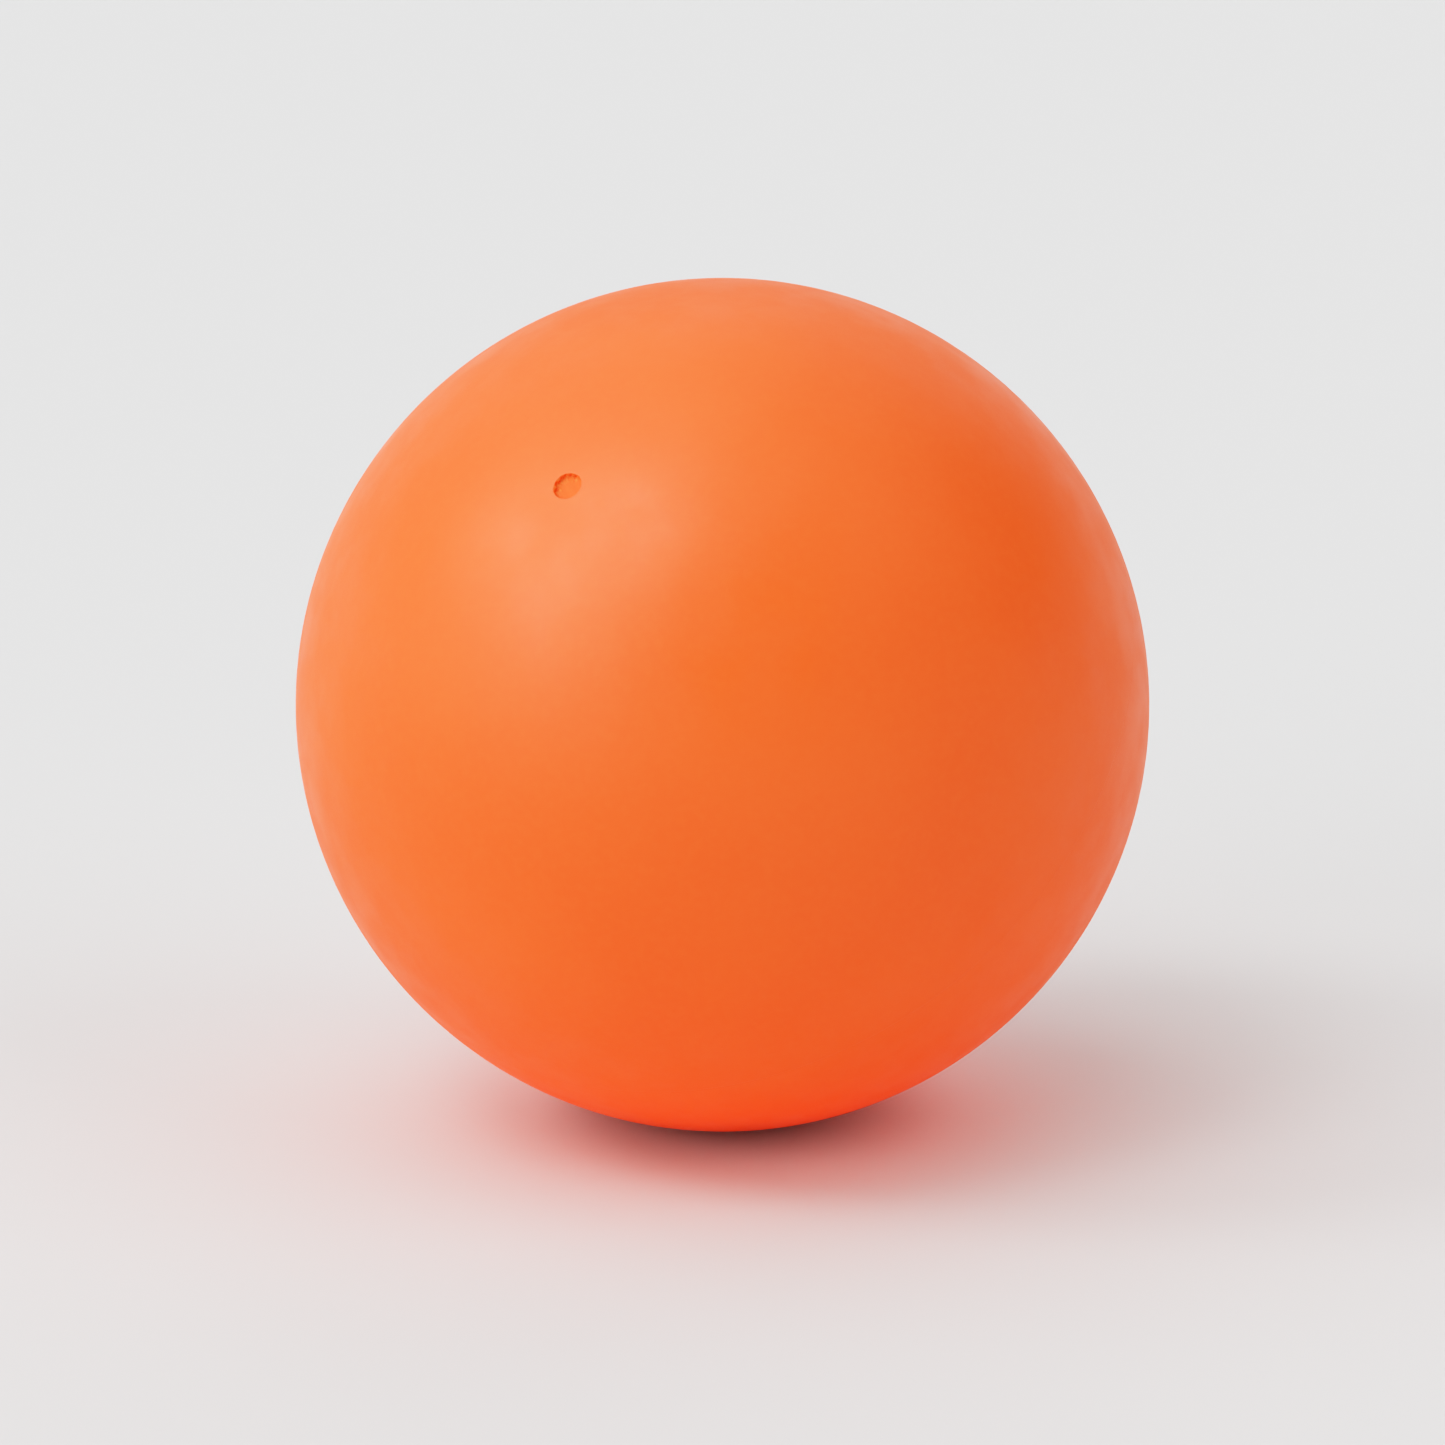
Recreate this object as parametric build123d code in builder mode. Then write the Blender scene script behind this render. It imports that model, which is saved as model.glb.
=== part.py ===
"""Hollow 40 mm table tennis ball: two moulded half shells cemented in a lap joint at the equator.

Millimetres, +Z up. The origin is the centre of the ball. The ball lies at rest, so the axis
through its two poles leans from +Z towards -Y by POLE_TILT. Each half shell was filled through a
gate at its pole, which leaves a small round blind recess there.
"""

from build123d import *
from math import cos, radians, sin, sqrt
import os

os.makedirs("parts", exist_ok=True)

# ---- Driving dimensions ----
BALL_DIAMETER = 40.0
WALL = 0.50  # shell wall away from the seam and the poles
RIM_WALL = 0.70  # wall where the two half shells meet
POLE_TILT = 48.6  # degrees, lean of the pole axis from +Z towards -Y

# lap joint: a lip on the upper half slides into a rebate in the lower half
LAP_LENGTH = 1.20
LIP_THICKNESS = 0.32
CEMENT_FILM = 0.06
BEAD_RADIUS = 0.25  # cement squeezed out along the inside of the joint

# gate recess at each pole, with a pad behind it that keeps the wall thick enough
GATE_DIAMETER = 1.28
GATE_DEPTH = 0.25
GATE_MOUTH_RADIUS = 0.04
PAD_DIAMETER = 4.0
PAD_HEIGHT = 0.25
PAD_SLOPE_WIDTH = 0.35

ABS_DENSITY = 0.00105  # grams per cubic millimetre
CEMENT_DENSITY = 0.00110

# ---- Radii and heights that follow; heights are along the pole axis from the equator ----
OUTER_RADIUS = BALL_DIAMETER / 2
INNER_RADIUS = OUTER_RADIUS - WALL
MIDDLE_RADIUS = OUTER_RADIUS - WALL / 2
RIM_INNER_RADIUS = OUTER_RADIUS - RIM_WALL
RIM_HEIGHT = sqrt(INNER_RADIUS**2 - RIM_INNER_RADIUS**2)  # the thick rim ends on the thin wall
LIP_OUTER_RADIUS = RIM_INNER_RADIUS + LIP_THICKNESS
REBATE_RADIUS = LIP_OUTER_RADIUS + CEMENT_FILM
REBATE_DEPTH = LAP_LENGTH + CEMENT_FILM
BEAD_MIDDLE = LAP_LENGTH + CEMENT_FILM / 2  # the bead sits over the gap under the lip's end

# ---- Planes: local Z points from the centre of the ball at a half's own pole ----
POLE = Vector(0, -sin(radians(POLE_TILT)), cos(radians(POLE_TILT)))
UPPER_HALF = Plane(origin=(0, 0, 0), x_dir=(1, 0, 0), z_dir=POLE)
LOWER_HALF = Plane(origin=(0, 0, 0), x_dir=(1, 0, 0), z_dir=-POLE)


def meridian(half):
    """Plane through the pole axis: local X points out of the axis, local Y at the half's pole."""
    return Plane(origin=half.origin, x_dir=half.x_dir, z_dir=-half.y_dir)


def pole_axis(half):
    return Axis(origin=half.origin, direction=half.z_dir)


def on_circle(radius, degrees):
    """Point on a circle about the centre, by its angle from the equator towards the pole."""
    return (radius * cos(radians(degrees)), radius * sin(radians(degrees)))


def height_on_sphere(radius, distance_from_axis):
    return sqrt(radius**2 - distance_from_axis**2)


def shell_outline():
    """Half section of a half shell: a sphere outside, a thin wall and a thicker rim inside."""
    with BuildLine() as outline:
        Line((RIM_INNER_RADIUS, 0), (OUTER_RADIUS, 0))
        ThreePointArc((OUTER_RADIUS, 0), on_circle(OUTER_RADIUS, 45), (0, OUTER_RADIUS))
        Line((0, OUTER_RADIUS), (0, INNER_RADIUS))
        ThreePointArc((0, INNER_RADIUS), on_circle(INNER_RADIUS, 45), (RIM_INNER_RADIUS, RIM_HEIGHT))
        Line((RIM_INNER_RADIUS, RIM_HEIGHT), (RIM_INNER_RADIUS, 0))
    return outline.line


def gate_pad_outline():
    """Half section of the pad on the inside of the wall at the pole, with a sloping edge."""
    pad_radius = PAD_DIAMETER / 2
    pad_face = INNER_RADIUS - PAD_HEIGHT
    foot_radius = pad_radius + PAD_SLOPE_WIDTH
    with BuildLine() as outline:
        Polyline(
            (0, pad_face),
            (pad_radius, pad_face),
            (foot_radius, height_on_sphere(INNER_RADIUS, foot_radius)),
            (foot_radius, height_on_sphere(MIDDLE_RADIUS, foot_radius)),
            (0, MIDDLE_RADIUS),
            close=True,
        )
    return outline.line


def gate_recess_outline():
    """Half section of the blind recess at the pole: flat floor, square wall and rounded mouth."""
    wall_radius = GATE_DIAMETER / 2
    mouth_radius = wall_radius + GATE_MOUTH_RADIUS
    floor = OUTER_RADIUS - GATE_DEPTH
    mouth = height_on_sphere(OUTER_RADIUS, mouth_radius)
    above = OUTER_RADIUS + GATE_DEPTH
    with BuildLine() as outline:
        Polyline((wall_radius, mouth - GATE_MOUTH_RADIUS), (wall_radius, floor), (0, floor), (0, above))
        Polyline((0, above), (mouth_radius, above), (mouth_radius, mouth))
        RadiusArc((mouth_radius, mouth), (wall_radius, mouth - GATE_MOUTH_RADIUS), -GATE_MOUTH_RADIUS)
    return outline.line


# ---- Upper half shell: carries the lip ----
with BuildPart() as upper_half_shell:
    with BuildSketch(meridian(UPPER_HALF)):
        with BuildLine():
            add(shell_outline())
        make_face()
    revolve(axis=pole_axis(UPPER_HALF))
    with BuildSketch(meridian(UPPER_HALF)):
        with BuildLine():
            add(gate_pad_outline())
        make_face()
    revolve(axis=pole_axis(UPPER_HALF))
    # lip below the equator, rooted in the rim
    with BuildSketch(UPPER_HALF):
        Circle(LIP_OUTER_RADIUS)
        Circle(RIM_INNER_RADIUS, mode=Mode.SUBTRACT)
    extrude(amount=-LAP_LENGTH)
    with BuildSketch(meridian(UPPER_HALF)):
        with BuildLine():
            add(gate_recess_outline())
        make_face()
    revolve(axis=pole_axis(UPPER_HALF), mode=Mode.SUBTRACT)

# ---- Lower half shell: carries the rebate ----
with BuildPart() as lower_half_shell:
    with BuildSketch(meridian(LOWER_HALF)):
        with BuildLine():
            add(shell_outline())
        make_face()
    revolve(axis=pole_axis(LOWER_HALF))
    with BuildSketch(meridian(LOWER_HALF)):
        with BuildLine():
            add(gate_pad_outline())
        make_face()
    revolve(axis=pole_axis(LOWER_HALF))
    with BuildSketch(LOWER_HALF):
        Circle(REBATE_RADIUS)
    extrude(amount=REBATE_DEPTH, mode=Mode.SUBTRACT)
    with BuildSketch(meridian(LOWER_HALF)):
        with BuildLine():
            add(gate_recess_outline())
        make_face()
    revolve(axis=pole_axis(LOWER_HALF), mode=Mode.SUBTRACT)

# ---- Cement: a film round the lip, a foot under its end and a bead along the inside ----
with BuildPart() as seam_cement_ring:
    with BuildSketch(meridian(LOWER_HALF)):
        with BuildLine():
            Polyline(
                (LIP_OUTER_RADIUS, 0),
                (REBATE_RADIUS, 0),
                (REBATE_RADIUS, REBATE_DEPTH),
                (RIM_INNER_RADIUS, REBATE_DEPTH),
                (RIM_INNER_RADIUS, LAP_LENGTH),
                (LIP_OUTER_RADIUS, LAP_LENGTH),
                close=True,
            )
        make_face()
        with BuildLine():
            bead_top = (RIM_INNER_RADIUS, BEAD_MIDDLE - BEAD_RADIUS)
            bead_bottom = (RIM_INNER_RADIUS, BEAD_MIDDLE + BEAD_RADIUS)
            ThreePointArc(bead_top, (RIM_INNER_RADIUS - BEAD_RADIUS, BEAD_MIDDLE), bead_bottom)
            Line(bead_bottom, bead_top)
        make_face()
    revolve(axis=pole_axis(LOWER_HALF))

upper_half_shell.part.label = "upper_half_shell"
lower_half_shell.part.label = "lower_half_shell"
seam_cement_ring.part.label = "seam_cement_ring"

export_step(upper_half_shell.part, "parts/upper_half_shell.step")
export_step(lower_half_shell.part, "parts/lower_half_shell.step")
export_step(seam_cement_ring.part, "parts/seam_cement_ring.step")

shell_mass = (upper_half_shell.part.volume + lower_half_shell.part.volume) * ABS_DENSITY
cement_mass = seam_cement_ring.part.volume * CEMENT_DENSITY
print(f"mass of the ball {shell_mass + cement_mass:.3f} g")
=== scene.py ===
"""Looks of a hollow 40 mm table tennis ball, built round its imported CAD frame.

Metres, +Z up, origin at the centre of the ball. Each CAD half shell is replaced by a finer mesh
of the same solid: the outer sphere, the lap joint at the rim, the inner wall with its pad, and
the gate recess at the pole with the ragged wall that the torn gate left. The cement ring keeps
its CAD mesh and gets a better material.

Each half shell is a body of revolution, so its mesh is described by its half section: points
given by their distance from the pole axis and their height along it from the ball's centre.
"""

from math import asin, atan2, cos, pi, radians, sin, sqrt

import bmesh
import bpy
from mathutils import Matrix, Vector, noise


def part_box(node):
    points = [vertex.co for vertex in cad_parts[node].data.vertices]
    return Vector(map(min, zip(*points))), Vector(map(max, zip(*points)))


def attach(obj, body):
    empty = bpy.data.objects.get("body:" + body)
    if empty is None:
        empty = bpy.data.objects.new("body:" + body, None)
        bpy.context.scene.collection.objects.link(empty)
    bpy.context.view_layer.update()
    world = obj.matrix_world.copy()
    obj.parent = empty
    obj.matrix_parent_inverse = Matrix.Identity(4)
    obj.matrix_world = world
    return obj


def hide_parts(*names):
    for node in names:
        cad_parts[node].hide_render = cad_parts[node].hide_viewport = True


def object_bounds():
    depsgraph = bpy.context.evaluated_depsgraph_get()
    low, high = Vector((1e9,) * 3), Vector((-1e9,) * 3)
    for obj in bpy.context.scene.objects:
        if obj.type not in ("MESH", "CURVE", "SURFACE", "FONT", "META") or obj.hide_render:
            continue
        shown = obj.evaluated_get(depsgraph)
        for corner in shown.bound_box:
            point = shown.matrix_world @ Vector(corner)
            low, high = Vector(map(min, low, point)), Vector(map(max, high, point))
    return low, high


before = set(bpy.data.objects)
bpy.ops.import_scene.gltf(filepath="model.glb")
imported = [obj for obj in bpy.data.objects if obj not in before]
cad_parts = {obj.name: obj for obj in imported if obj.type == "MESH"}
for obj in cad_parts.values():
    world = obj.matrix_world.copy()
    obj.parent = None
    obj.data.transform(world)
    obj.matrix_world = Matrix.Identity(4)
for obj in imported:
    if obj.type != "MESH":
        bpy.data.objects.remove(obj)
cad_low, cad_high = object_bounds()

UPPER, LOWER, CEMENT = "upper_half_shell", "lower_half_shell", "seam_cement_ring"
SHELL_SLOT, BODY = "shell_plastic", "root"
MM = 0.001

# ---- Sizes of the solids, the same as in the CAD source ----
BALL_RADIUS = (cad_high.x - cad_low.x) / 2
INNER_RADIUS = BALL_RADIUS - 0.50 * MM
RIM_INNER_RADIUS = BALL_RADIUS - 0.70 * MM
LIP_OUTER_RADIUS = RIM_INNER_RADIUS + 0.32 * MM
LAP_LENGTH = 1.20 * MM
CEMENT_FILM = 0.06 * MM
REBATE_RADIUS = LIP_OUTER_RADIUS + CEMENT_FILM
REBATE_DEPTH = LAP_LENGTH + CEMENT_FILM
GATE_RADIUS = 0.64 * MM
GATE_DEPTH = 0.25 * MM
GATE_MOUTH_RADIUS = 0.04 * MM
PAD_RADIUS = 2.0 * MM
PAD_HEIGHT = 0.25 * MM
PAD_SLOPE_WIDTH = 0.35 * MM

# ---- Fineness of the meshes ----
SEGMENTS = 192  # vertices in every ring about the pole axis
FINE_STEP = 0.03 * MM  # ring spacing at the gate's mouth and at the equator
RIM_STEP = 0.3 * MM  # ring spacing at both ends of the inner wall
COARSE_STEP = 0.65 * MM  # ring spacing elsewhere on the sphere
STEP_GROWTH = 1.3  # each step between rings is at most this much wider than the one before
FLOOR_STEPS, FILLET_STEPS, WALL_STEPS, MOUTH_STEPS = 20, 6, 12, 5  # rings in the recess
SLOPE_STEPS, PAD_STEPS = 3, 8  # rings on the pad's sloping edge and on its face
SHARP_ANGLE = 40  # degrees, an edge that turns more than this is shaded as a corner

# ---- The recess: a tear on one side of its wall, and what the tear left ----
TORN_SIDE = 138  # degrees about the pole axis, middle of the side where the gate tore
TORN_LEAST = 0.12  # how torn the far side is, where 1 is the torn side
TORN_COSINES = (-0.25, 0.45)  # the tear grows between these cosines of the angle from its side
SCALLOP_SIZE = 0.36 * MM  # waves in the outline of the mouth
SCALLOP_HEIGHT = 0.018 * MM
SCALLOP_CLEAN = 0.4  # share of the waves that is there where nothing tore
LUMP_SIZE = 0.14 * MM  # lumps on the wall
LUMP_HEIGHT = 0.048 * MM
LUMP_BIAS = 0.35  # lumps stand out of the wall more than they sink into it
LUMP_FOOT_LOSS = 0.55  # share of the lumps' height that is lost at the floor
RUBBLE_SIZE = 0.15 * MM  # crumbs on the floor beside the torn wall
RUBBLE_HEIGHT = 0.060 * MM
RIPPLE_SIZE = 0.35 * MM  # ripples of the floor
RIPPLE_HEIGHT = 0.012 * MM
FLOOR_FILLET = 0.10 * MM
FLOOR_DISH = 0.02 * MM
MOUTH_BLEND = 0.30 * MM  # the mouth's uneven outline fades into round rings over this distance
NOISE_GAIN = 1.6  # brings Blender's noise to between about -1 and 1
SEED_SLANT = 2.3  # a seed moves the noise along this slanting line, so that no two are alike

# where these fade in, from 0 to 1: as shares of the recess's radius, and then of its depth
WALL_RADII = (0.55, 0.95)
RUBBLE_RADII = (0.40, 0.80)
TORN_RADII = (0.40, 0.85)
LUMP_TOP_DEPTHS = (0.05, 0.45)
LUMP_FOOT_DEPTHS = (0.7, 1.0)
FLOOR_DEPTHS = (0.6, 1.0)
RECESS_DEPTHS = (0.05, 0.35)


def smoothstep(low, high, value):
    t = min(max((value - low) / (high - low), 0), 1)
    return t * t * (3 - 2 * t)


# ---- Half section ----
def graded(start, stop, fine, coarse):
    """Stations from start to stop, fine apart at both ends and up to coarse apart in between."""
    steps, reach, step, half = [], 0, fine, abs(stop - start) / 2
    while reach < half:
        steps.append(step)
        reach += step
        step = min(step * STEP_GROWTH, coarse)
    scale = (stop - start) / (2 * sum(steps))
    stations = [start]
    for step in steps + steps[::-1]:
        stations.append(stations[-1] + step * scale)
    return stations


def arc(centre_r, centre_h, radius, first, last, steps):
    """Points of an arc, without its first point. Angles are in degrees."""
    points = []
    for i in range(1, steps + 1):
        angle = radians(first + (last - first) * i / steps)
        points.append((centre_r + radius * cos(angle), centre_h + radius * sin(angle)))
    return points


def straight(start, stop, steps):
    """Points of a straight run, without its first point."""
    return [
        (start[0] + (stop[0] - start[0]) * i / steps, start[1] + (stop[1] - start[1]) * i / steps)
        for i in range(1, steps + 1)
    ]


def on_sphere(radius, distance):
    """Height of a sphere at a distance from the pole axis."""
    return sqrt(max(radius**2 - distance**2, 0))


def gate_rings():
    """Rings of the clean recess from its floor's middle to its mouth: (zone, distance, height)."""
    floor = BALL_RADIUS - GATE_DEPTH
    mouth = GATE_RADIUS + GATE_MOUTH_RADIUS
    top = on_sphere(BALL_RADIUS, mouth) - GATE_MOUTH_RADIUS
    flat = GATE_RADIUS - FLOOR_FILLET
    points = [(distance, floor) for distance, _ in straight((0, 0), (flat, 0), FLOOR_STEPS)]
    points += arc(flat, floor + FLOOR_FILLET, FLOOR_FILLET, -90, 0, FILLET_STEPS)
    points += straight(points[-1], (GATE_RADIUS, top), WALL_STEPS)
    points += arc(mouth, top, GATE_MOUTH_RADIUS, 180, 90, MOUTH_STEPS)
    return [("gate", distance, height) for distance, height in points]


def outer_rings():
    """Rings of the outer sphere from the gate's mouth to the equator."""
    first = asin((GATE_RADIUS + GATE_MOUTH_RADIUS) / BALL_RADIUS)
    angles = graded(first, pi / 2, FINE_STEP / BALL_RADIUS, COARSE_STEP / BALL_RADIUS)[1:]
    return [("outer", BALL_RADIUS * sin(a), BALL_RADIUS * cos(a)) for a in angles]


def rim_rings(lip):
    """Rings of the joint's face between the outer sphere and the inner wall."""
    if lip:
        side, end = LIP_OUTER_RADIUS, -LAP_LENGTH
    else:
        side, end = REBATE_RADIUS, REBATE_DEPTH
    return [("rim", side, 0), ("rim", side, end), ("rim", RIM_INNER_RADIUS, end)]


def inner_rings():
    """Rings of the inner wall from the thick rim to the pad over the pole."""
    foot = PAD_RADIUS + PAD_SLOPE_WIDTH
    first, last = asin(RIM_INNER_RADIUS / INNER_RADIUS), asin(foot / INNER_RADIUS)
    angles = graded(first, last, RIM_STEP / INNER_RADIUS, COARSE_STEP / INNER_RADIUS)
    points = [(INNER_RADIUS * sin(a), INNER_RADIUS * cos(a)) for a in angles]
    pad = INNER_RADIUS - PAD_HEIGHT
    points += straight(points[-1], (PAD_RADIUS, pad), SLOPE_STEPS)
    points += straight((PAD_RADIUS, pad), (0, pad), PAD_STEPS)[:-1]
    return [("inner", distance, height) for distance, height in points]


# ---- Torn recess ----
def torn(angle):
    """How torn the gate's wall is at an angle about the pole axis, from 0, clean, to 1."""
    nearness = cos(angle - radians(TORN_SIDE))
    return TORN_LEAST + (1 - TORN_LEAST) * smoothstep(*TORN_COSINES, nearness)


def uneven(angle, distance, height, size, seed):
    """Smooth noise at a point of the recess, between about -1 and 1."""
    place = Vector((distance * cos(angle), distance * sin(angle), height)) / size
    return NOISE_GAIN * noise.noise(place + Vector((seed, SEED_SLANT * seed, 0)))


def scallop(angle, seed):
    """How far the mouth's outline stands outside its circle."""
    wave = uneven(angle, GATE_RADIUS, 0, SCALLOP_SIZE, seed)
    return SCALLOP_HEIGHT * wave * (SCALLOP_CLEAN + (1 - SCALLOP_CLEAN) * torn(angle))


def gate_point(angle, distance, height, seed):
    """Moves a point of the clean recess to where the torn wall and the uneven mouth put it."""
    down = (BALL_RADIUS - height) / GATE_DEPTH
    out = distance / GATE_RADIUS
    wall = smoothstep(*WALL_RADII, out)
    lump_zone = smoothstep(*LUMP_TOP_DEPTHS, down)
    lump_zone *= 1 - LUMP_FOOT_LOSS * smoothstep(*LUMP_FOOT_DEPTHS, down)
    lump = LUMP_BIAS + uneven(angle, GATE_RADIUS, height, LUMP_SIZE, seed + 7)
    lump *= LUMP_HEIGHT * lump_zone
    distance += wall * (scallop(angle, seed) - lump * torn(angle))

    dish = FLOOR_DISH * (1 - min(distance / GATE_RADIUS, 1) ** 2)
    ripple = RIPPLE_HEIGHT * uneven(angle, distance, 0, RIPPLE_SIZE, seed + 3) * (1 - wall)
    crumbs = max(uneven(angle, distance, 0, RUBBLE_SIZE, seed + 5), 0)
    rubble = RUBBLE_HEIGHT * crumbs * torn(angle) * smoothstep(*RUBBLE_RADII, out)
    height -= (dish + ripple - rubble) * smoothstep(*FLOOR_DEPTHS, down)
    return distance, height


def outer_point(angle, distance, seed):
    """Moves a point of the sphere near the mouth along the sphere, with the uneven outline."""
    beyond = (distance - GATE_RADIUS - GATE_MOUTH_RADIUS) / MOUTH_BLEND
    if beyond < 1:
        distance += scallop(angle, seed) * (1 - smoothstep(0, 1, beyond))
    return distance, on_sphere(BALL_RADIUS, distance)


# ---- Mesh ----
def link(piece):
    bpy.context.scene.collection.objects.link(piece)
    return piece


def half_shell(name, pole, lip, seed):
    """Closed mesh of one half shell with its own pole along the unit vector pole. Two attributes
    go with it for the material: gate, 1 inside the recess, and torn, 1 where its wall is torn."""
    x_axis = Vector((1, 0, 0))
    y_axis = pole.cross(x_axis)
    place = Matrix((x_axis, y_axis, pole)).transposed()
    bm = bmesh.new()
    torn_layer = bm.verts.layers.float.new("torn")
    gate_layer = bm.verts.layers.float.new("gate")
    grid = []
    for zone, distance, height in gate_rings() + outer_rings() + rim_rings(lip) + inner_rings():
        row = []
        for i in range(SEGMENTS):
            angle = 2 * pi * i / SEGMENTS
            r, h = distance, height
            if zone == "gate":
                r, h = gate_point(angle, distance, height, seed)
            elif zone == "outer":
                r, h = outer_point(angle, distance, seed)
            vertex = bm.verts.new(place @ Vector((r * cos(angle), r * sin(angle), h)))
            if zone == "gate":
                inside = smoothstep(*RECESS_DEPTHS, (BALL_RADIUS - height) / GATE_DEPTH)
                beside_wall = smoothstep(*TORN_RADII, r / GATE_RADIUS)
                vertex[gate_layer] = inside
                vertex[torn_layer] = inside * torn(angle) * beside_wall
            row.append(vertex)
        grid.append(row)
    floor_middle = bm.verts.new(place @ Vector((0, 0, BALL_RADIUS - GATE_DEPTH - FLOOR_DISH)))
    floor_middle[gate_layer] = 1.0
    pad_middle = bm.verts.new(place @ Vector((0, 0, INNER_RADIUS - PAD_HEIGHT)))
    sides = [(i, (i + 1) % SEGMENTS) for i in range(SEGMENTS)]
    for near, far in zip(grid, grid[1:]):
        for i, k in sides:
            bm.faces.new((near[i], far[i], far[k], near[k]))
    for i, k in sides:
        bm.faces.new((floor_middle, grid[0][i], grid[0][k]))
        bm.faces.new((pad_middle, grid[-1][k], grid[-1][i]))
    for face in bm.faces:
        face.smooth = True
    for edge in bm.edges:
        edge.smooth = edge.calc_face_angle(0) < radians(SHARP_ANGLE)
    mesh = bpy.data.meshes.new(name)
    bm.to_mesh(mesh)
    bm.free()
    return link(bpy.data.objects.new(name, mesh))


def pole_direction():
    """Unit vector from the centre at the upper pole, read from the cement ring's box. That ring
    is round about the pole axis, so its reach in y and z gives the axis's lean."""
    low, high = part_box(CEMENT)
    lean = atan2(high.z, -low.y)
    return Vector((0, -sin(lean), cos(lean)))


# ---- Materials ----
ORANGE = (0.955, 0.137, 0.0270)
ORANGE_DEEP = (0.945, 0.129, 0.0240)
ORANGE_PALE = (0.960, 0.149, 0.0320)
# painted shade: inside the gate's recess the shell takes a touch deeper orange than elsewhere
RECESS_SHADE_ORANGE = (0.955, 0.138, 0.020)
# painted light: paler orange for beads on the torn wall, lifting the shade that falls there
TORN_WALL_PAINTED_LIGHT = (0.900, 0.210, 0.045)
FLECK_SHARE = 0.3  # most of the pale orange that a fleck takes
SPECULAR_LEVEL = 0.40
SATIN_ROUGHNESS = (0.40, 0.50)
GRAIN_ROUGHNESS = (-0.02, 0.02)  # added by the grain
GATE_ROUGHER = 0.25  # added inside the recess

# sizes of the shell's noises, and the heights of the bumps that three of them make
DRIFT_SIZE = 9 * MM  # pigment
CLOUD_SIZE = 2.4 * MM  # satin
SWELL_SIZE, SWELL_HEIGHT = 2.8 * MM, 0.040 * MM
SPECK_SIZE, SPECK_HEIGHT = 0.35 * MM, 0.0006 * MM
GRAIN_SIZE, GRAIN_HEIGHT = 0.07 * MM, 0.0003 * MM
LIGHT_BEAD_SIZE = 0.13 * MM  # painted light: beads of paler orange on the torn wall, which lift the shade in the recess

CEMENT_AMBER = (0.86, 0.40, 0.14)
CEMENT_BROWN = (0.80, 0.30, 0.08)
CEMENT_BUBBLE = (0.9, 0.55, 0.28)
BUBBLE_SHARE = 0.4
CEMENT_ROUGHNESS = (0.14, 0.30)
CEMENT_CLOUD_SIZE, CEMENT_CLOUD_HEIGHT = 1.5 * MM, 0.03 * MM
BUBBLE_SIZE, BUBBLE_HEIGHT = 0.25 * MM, 0.008 * MM


def new_material(name):
    material = bpy.data.materials.new(name)
    material.use_nodes = True
    nodes = material.node_tree.nodes
    return material, nodes, material.node_tree.links, nodes["Principled BSDF"]


def noise_node(nodes, links, vector, size, detail, seed):
    """Noise texture whose features are about size metres across."""
    node = nodes.new("ShaderNodeTexNoise")
    node.noise_dimensions = "4D"
    node.inputs["W"].default_value = seed
    node.inputs["Scale"].default_value = 1 / size
    node.inputs["Detail"].default_value = detail
    node.inputs["Roughness"].default_value = 0.5
    links.new(vector, node.inputs["Vector"])
    return node.outputs["Fac"]


def remap(nodes, links, value, low, high, new_low, new_high):
    """Smooth step from new_low, where the value is low, to new_high, where it is high."""
    node = nodes.new("ShaderNodeMapRange")
    node.interpolation_type = "SMOOTHSTEP"
    node.inputs["From Min"].default_value = low
    node.inputs["From Max"].default_value = high
    node.inputs["To Min"].default_value = new_low
    node.inputs["To Max"].default_value = new_high
    links.new(value, node.inputs["Value"])
    return node.outputs["Result"]


def mix_colour(nodes, links, factor, first, second):
    """Colour between two; each is a colour or an output of another node."""
    node = nodes.new("ShaderNodeMix")
    node.data_type = "RGBA"
    links.new(factor, node.inputs["Factor"])
    for socket, colour in ((node.inputs[6], first), (node.inputs[7], second)):
        if isinstance(colour, tuple):
            socket.default_value = (*colour, 1)
        else:
            links.new(colour, socket)
    return node.outputs[2]


def arithmetic(nodes, links, operation, first, second):
    """Result of one operation on two values; each is a number or an output of another node."""
    node = nodes.new("ShaderNodeMath")
    node.operation = operation
    for socket, value in zip(node.inputs, (first, second)):
        if isinstance(value, (int, float)):
            socket.default_value = value
        else:
            links.new(value, socket)
    return node.outputs[0]


def bump(nodes, links, height, distance, below=None):
    """Bump whose height goes from 0 to distance metres as the value does from 0 to 1, on top of
    another bump."""
    node = nodes.new("ShaderNodeBump")
    node.inputs["Strength"].default_value = 1.0
    node.inputs["Distance"].default_value = distance
    links.new(height, node.inputs["Height"])
    if below is not None:
        links.new(below, node.inputs["Normal"])
    return node.outputs["Normal"]


def attribute(nodes, name):
    node = nodes.new("ShaderNodeAttribute")
    node.attribute_name = name
    return node.outputs["Fac"]


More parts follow.
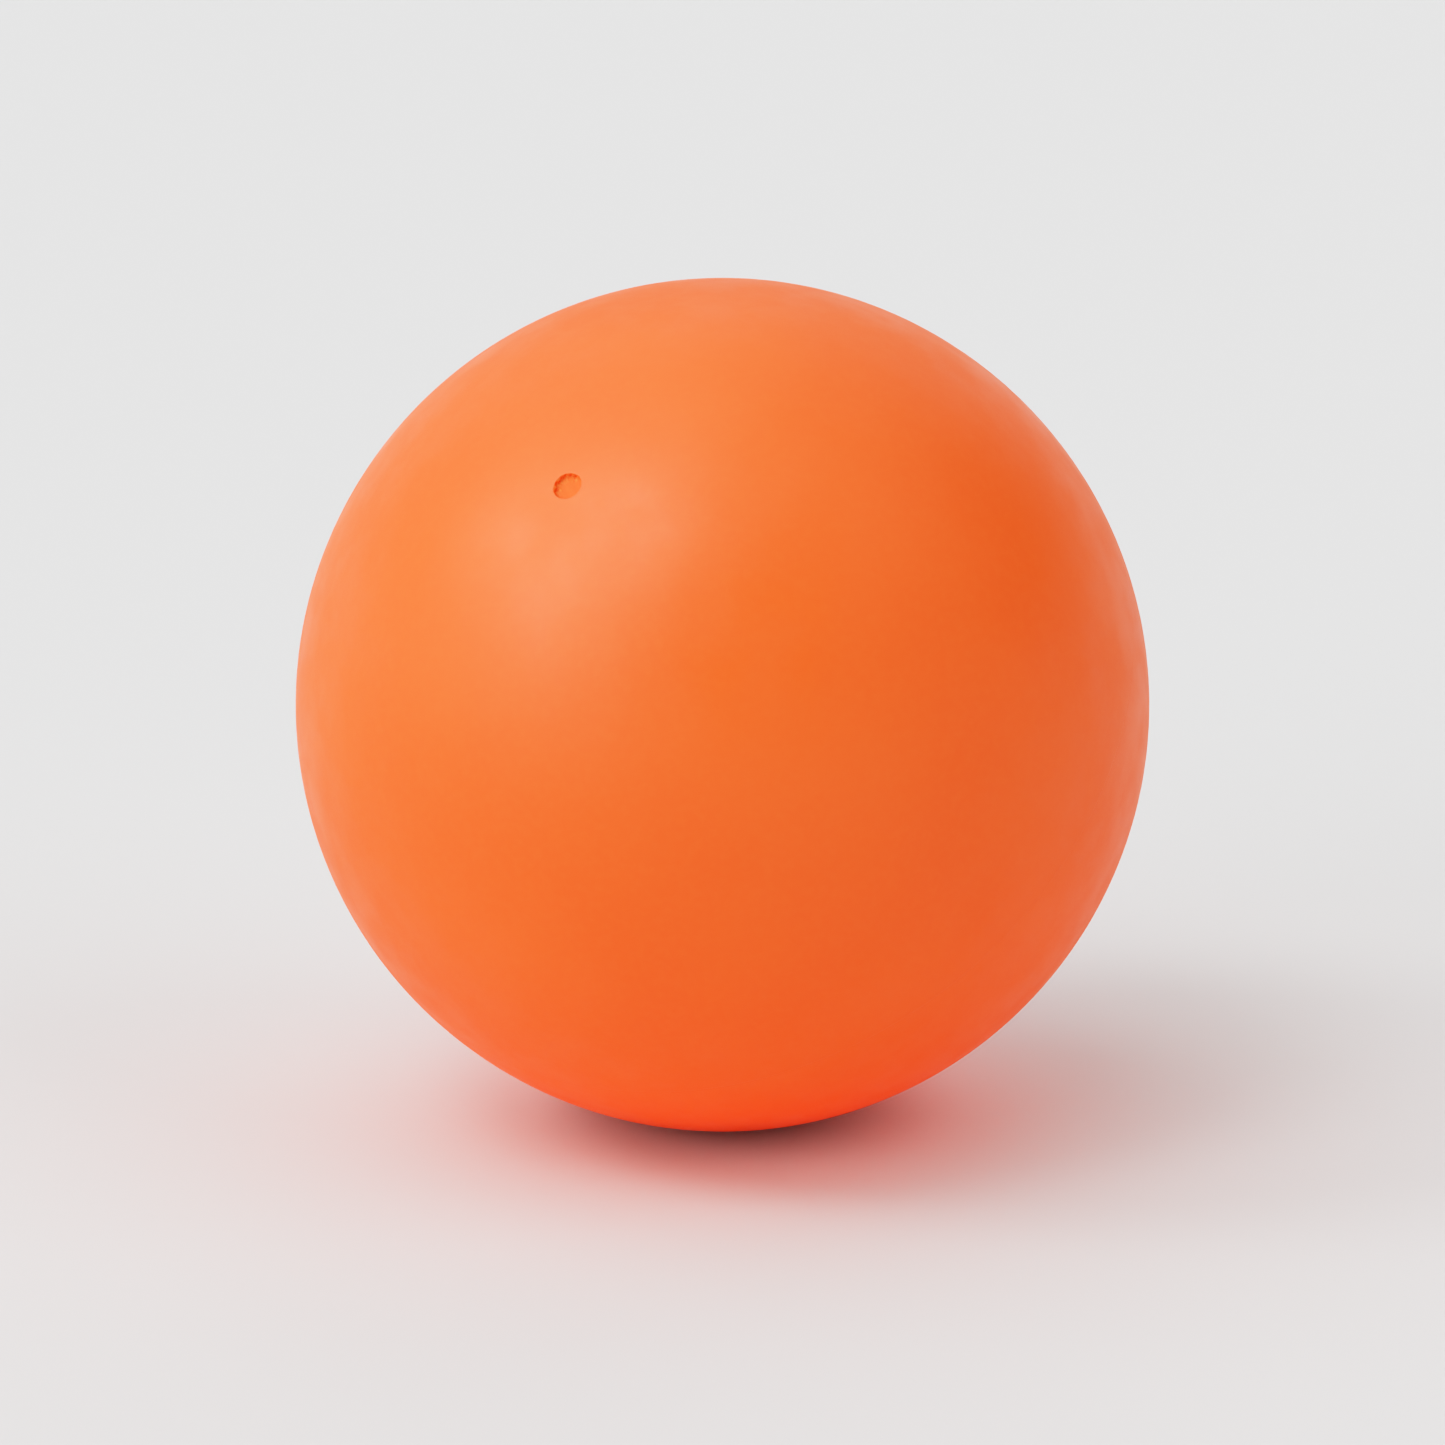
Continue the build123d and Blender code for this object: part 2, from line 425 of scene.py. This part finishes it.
def shell_material():
    """Satin orange plastic: faint drifts of pigment, pale flecks, an uneven satin, a low swell
    and a very fine moulded grain. It is duller inside the gate's recess, which has painted shade
    in a touch deeper orange, and the torn wall has paler beads of painted light that lift its
    shade."""
    material, nodes, links, shader = new_material("satin_orange_plastic")
    place = nodes.new("ShaderNodeTexCoord").outputs["Object"]
    drift = noise_node(nodes, links, place, DRIFT_SIZE, detail=2, seed=1)
    cloud = noise_node(nodes, links, place, CLOUD_SIZE, detail=3, seed=2)
    swell = noise_node(nodes, links, place, SWELL_SIZE, detail=1, seed=7)
    speck = noise_node(nodes, links, place, SPECK_SIZE, detail=2, seed=3)
    grain = noise_node(nodes, links, place, GRAIN_SIZE, detail=2, seed=4)
    light_bead = noise_node(nodes, links, place, LIGHT_BEAD_SIZE, detail=1, seed=6)
    torn_mask, gate_mask = attribute(nodes, "torn"), attribute(nodes, "gate")

    drift = remap(nodes, links, drift, 0.3, 0.7, 0, 1)
    fleck = remap(nodes, links, speck, 0.35, 0.75, 0, 1)
    fleck = arithmetic(nodes, links, "MULTIPLY", fleck, FLECK_SHARE)
    # painted light: paler beads on the torn wall lift the shade inside the recess
    light_bead = remap(nodes, links, light_bead, 0.40, 0.62, 0.3, 1.0)
    light_bead = arithmetic(nodes, links, "MULTIPLY", light_bead, torn_mask)
    colour = mix_colour(nodes, links, drift, ORANGE_DEEP, ORANGE)
    colour = mix_colour(nodes, links, fleck, colour, ORANGE_PALE)
    # painted shade: the recess takes a touch deeper orange
    colour = mix_colour(nodes, links, gate_mask, colour, RECESS_SHADE_ORANGE)
    colour = mix_colour(nodes, links, light_bead, colour, TORN_WALL_PAINTED_LIGHT)
    links.new(colour, shader.inputs["Base Color"])

    satin = remap(nodes, links, cloud, 0.30, 0.70, *SATIN_ROUGHNESS)
    sparkle = remap(nodes, links, grain, 0.2, 0.8, *GRAIN_ROUGHNESS)
    gate_rougher = arithmetic(nodes, links, "MULTIPLY", gate_mask, GATE_ROUGHER)
    satin = arithmetic(nodes, links, "ADD", satin, sparkle)
    satin = arithmetic(nodes, links, "ADD", satin, gate_rougher)
    links.new(satin, shader.inputs["Roughness"])

    normal = bump(nodes, links, swell, SWELL_HEIGHT)
    normal = bump(nodes, links, speck, SPECK_HEIGHT, normal)
    normal = bump(nodes, links, grain, GRAIN_HEIGHT, normal)
    links.new(normal, shader.inputs["Normal"])
    shader.inputs["Specular IOR Level"].default_value = SPECULAR_LEVEL
    return material


def cement_material():
    """Dried solvent cement: glossy, amber, with small bubbles and lumps."""
    material, nodes, links, shader = new_material("amber_cement")
    place = nodes.new("ShaderNodeTexCoord").outputs["Object"]
    cloud = noise_node(nodes, links, place, CEMENT_CLOUD_SIZE, detail=3, seed=5)
    bubble = nodes.new("ShaderNodeTexVoronoi")
    bubble.inputs["Scale"].default_value = 1 / BUBBLE_SIZE
    links.new(place, bubble.inputs["Vector"])
    spot = remap(nodes, links, bubble.outputs["Distance"], 0.1, 0.45, 1, 0)

    pale = arithmetic(nodes, links, "MULTIPLY", spot, BUBBLE_SHARE)
    colour = mix_colour(nodes, links, cloud, CEMENT_AMBER, CEMENT_BROWN)
    colour = mix_colour(nodes, links, pale, colour, CEMENT_BUBBLE)
    links.new(colour, shader.inputs["Base Color"])
    gloss = remap(nodes, links, cloud, 0.3, 0.7, *CEMENT_ROUGHNESS)
    links.new(gloss, shader.inputs["Roughness"])
    normal = bump(nodes, links, cloud, CEMENT_CLOUD_HEIGHT)
    normal = bump(nodes, links, spot, BUBBLE_HEIGHT, normal)
    links.new(normal, shader.inputs["Normal"])
    return material


# ---- Stage, light and camera ----
FLOOR_COLOUR = (0.637, 0.637, 0.637)
FLOOR_SIZE = 40
BACKGROUND = 1.510  # radiance of the floor far from the ball, and of the world round the horizon
HORIZON_TOP = 12  # degrees, the world is this bright up to here
HORIZON_FADE = 8  # degrees, and fades out over this, half of it below HORIZON_TOP
GLOW_COLOUR = (1.0, 0.25, 0.06)
GLOW_CLEARANCE = 0.05 * MM
DIFFUSE_BOUNCES = 8  # light passes many times between the ball and the floor where they touch

CAMERA_AZIMUTH = 27  # degrees from -Y towards +X
CAMERA_ELEVATION = 14
CAMERA_DISTANCE = 12 * BALL_RADIUS
CLIP_START, CLIP_END = 0.01, 2 * FLOOR_SIZE
SENSOR = 36
LENS = 127.2
SHIFT_Y = -0.01235  # the ball sits a little above the middle of the frame

RESPONSE_TOP, RESPONSE_POWER = 1.2, 1.6
CURVE_TOP = 4.0  # brightest light that the tone curve tells apart
CURVE_STATIONS = 24
CURVE_SPACING = 1.6  # power that sets the curve's points closer together in the dark tones


def direction(azimuth, elevation):
    """Unit vector towards a place, given by its angle from -Y towards +X and above the floor."""
    a, e = radians(azimuth), radians(elevation)
    return Vector((sin(a) * cos(e), -cos(a) * cos(e), sin(e)))


def make_floor():
    mesh = bpy.data.meshes.new("floor")
    half, height = FLOOR_SIZE / 2, cad_low.z
    corners = [(x * half, y * half, height) for x, y in ((-1, -1), (1, -1), (1, 1), (-1, 1))]
    mesh.from_pydata(corners, [], [(0, 1, 2, 3)])
    floor = link(bpy.data.objects.new("floor", mesh))
    material, nodes, links, shader = new_material("pale_floor")
    nodes.remove(shader)
    diffuse = nodes.new("ShaderNodeBsdfDiffuse")
    diffuse.inputs["Color"].default_value = (*FLOOR_COLOUR, 1)
    links.new(diffuse.outputs["BSDF"], nodes["Material Output"].inputs["Surface"])
    mesh.materials.append(material)


def make_world():
    """Even light round the horizon, as bright as the floor, which fades out above it."""
    world = bpy.data.worlds.new("studio")
    bpy.context.scene.world = world
    world.use_nodes = True
    nodes, links = world.node_tree.nodes, world.node_tree.links
    split = nodes.new("ShaderNodeSeparateXYZ")
    links.new(nodes.new("ShaderNodeTexCoord").outputs["Generated"], split.inputs["Vector"])
    low = sin(radians(HORIZON_TOP - HORIZON_FADE / 2))
    high = sin(radians(HORIZON_TOP + HORIZON_FADE / 2))
    fade = remap(nodes, links, split.outputs["Z"], low, high, 1, 0)
    links.new(fade, nodes["Background"].inputs["Color"])
    nodes["Background"].inputs["Strength"].default_value = BACKGROUND


def make_sun(name, azimuth, elevation, width, strength, glossy=True, diffuse=True):
    """Soft light from a disc that looks width degrees wide. The azimuth is counted from the
    camera's own. A light that is not glossy is not mirrored in the ball, and one that is not
    diffuse is only mirrored, so that highlight and shading can be set apart from each other."""
    light = bpy.data.lights.new(name, "SUN")
    light.energy = strength
    light.angle = radians(width)
    lamp = link(bpy.data.objects.new(name, light))
    towards = direction(CAMERA_AZIMUTH + azimuth, elevation)
    lamp.rotation_mode = "QUATERNION"
    lamp.rotation_quaternion = towards.to_track_quat("Z", "Y")
    lamp.visible_glossy = glossy
    lamp.visible_diffuse = diffuse


def make_shell_glow(radius, count, radiance):
    """Part of the warm light that comes down through a real ball's thin, cloudy shell on to the
    floor round it, and that an opaque shell keeps out: a ring of touching discs just above the
    floor, which shine upwards and are seen by neither the camera nor reflections."""
    diameter = 2 * pi * radius / count
    for i in range(count):
        light = bpy.data.lights.new("shell_glow", "AREA")
        light.shape = "DISK"
        light.size = diameter
        light.color = GLOW_COLOUR
        light.energy = radiance * pi * (pi * diameter**2 / 4)
        lamp = link(bpy.data.objects.new("shell_glow", light))
        angle = 2 * pi * i / count
        height = cad_low.z + GLOW_CLEARANCE
        lamp.location = (radius * cos(angle), radius * sin(angle), height)
        lamp.rotation_euler = (pi, 0, 0)
        lamp.visible_camera = False
        lamp.visible_glossy = False


def make_camera():
    camera = link(bpy.data.objects.new("camera", bpy.data.cameras.new("camera")))
    back = direction(CAMERA_AZIMUTH, CAMERA_ELEVATION)
    camera.location = back * CAMERA_DISTANCE
    camera.rotation_mode = "QUATERNION"
    camera.rotation_quaternion = (-back).to_track_quat("-Z", "Y")
    camera.data.sensor_width = SENSOR
    camera.data.lens = LENS
    camera.data.shift_y = SHIFT_Y
    camera.data.clip_start = CLIP_START
    camera.data.clip_end = CLIP_END
    bpy.context.scene.camera = camera


def camera_response(light):
    """A camera's tone curve: dark tones are held down and bright ones roll off."""
    return RESPONSE_TOP * light**RESPONSE_POWER / (light**RESPONSE_POWER + 1)


def set_response():
    view = bpy.context.scene.view_settings
    view.view_transform = "Standard"
    view.use_curve_mapping = True
    mapping = view.curve_mapping
    mapping.use_clip = False
    mapping.clip_max_x, mapping.clip_max_y = CURVE_TOP, CURVE_TOP / 2
    curve = mapping.curves[3]  # the curve for all three colours together
    curve.points[0].location = (0, 0)
    curve.points[1].location = (CURVE_TOP, camera_response(CURVE_TOP))
    for i in range(1, CURVE_STATIONS):
        light = CURVE_TOP * (i / CURVE_STATIONS) ** CURVE_SPACING
        curve.points.new(light, camera_response(light))
    mapping.update()


# ---- The model ----
pole = pole_direction()
upper = half_shell("ball_upper_half", pole, lip=True, seed=11)
lower = half_shell("ball_lower_half", -pole, lip=False, seed=23)
plastic = shell_material()
for piece, node in ((upper, UPPER), (lower, LOWER)):
    piece.data.materials.append(plastic)
    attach(piece, BODY)
    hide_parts(node)
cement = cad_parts[CEMENT]
cement.data.materials.clear()
cement.data.materials.append(cement_material())

# ---- The studio ----
make_floor()
make_world()
make_sun("key_left", 278, 40, 20, 1.02)
make_sun("key_high", 316, 57, 20, 0.70)
make_sun("rim_back", 157.5, 33, 50, 0.61)
make_sun("rim_back_left", 202.5, 33, 50, 0.36)
make_sun("dome_front_left", 292.5, 45, 90, 2.60, glossy=False)
make_sun("dome_back", 180, 70, 90, 2.26, glossy=False)
make_sun("fill_front", 315, 10, 50, 2.31, glossy=False)
make_sun("fill_right", 67.5, 33, 50, 1.78, glossy=False)
make_sun("highlight_high", 316, 57, 20, 1.30, diffuse=False)
make_sun("highlight_low", 307, 32, 20, 1.10, diffuse=False)
make_sun("highlight_left", 247.5, 45, 90, 1.78, diffuse=False)
make_sun("highlight_top", 0, 70, 90, 1.36, diffuse=False)
make_shell_glow(14 * MM, 10, 1.50)
make_shell_glow(28 * MM, 12, 0.948)
make_camera()
set_response()
bpy.context.scene.cycles.diffuse_bounces = DIFFUSE_BOUNCES
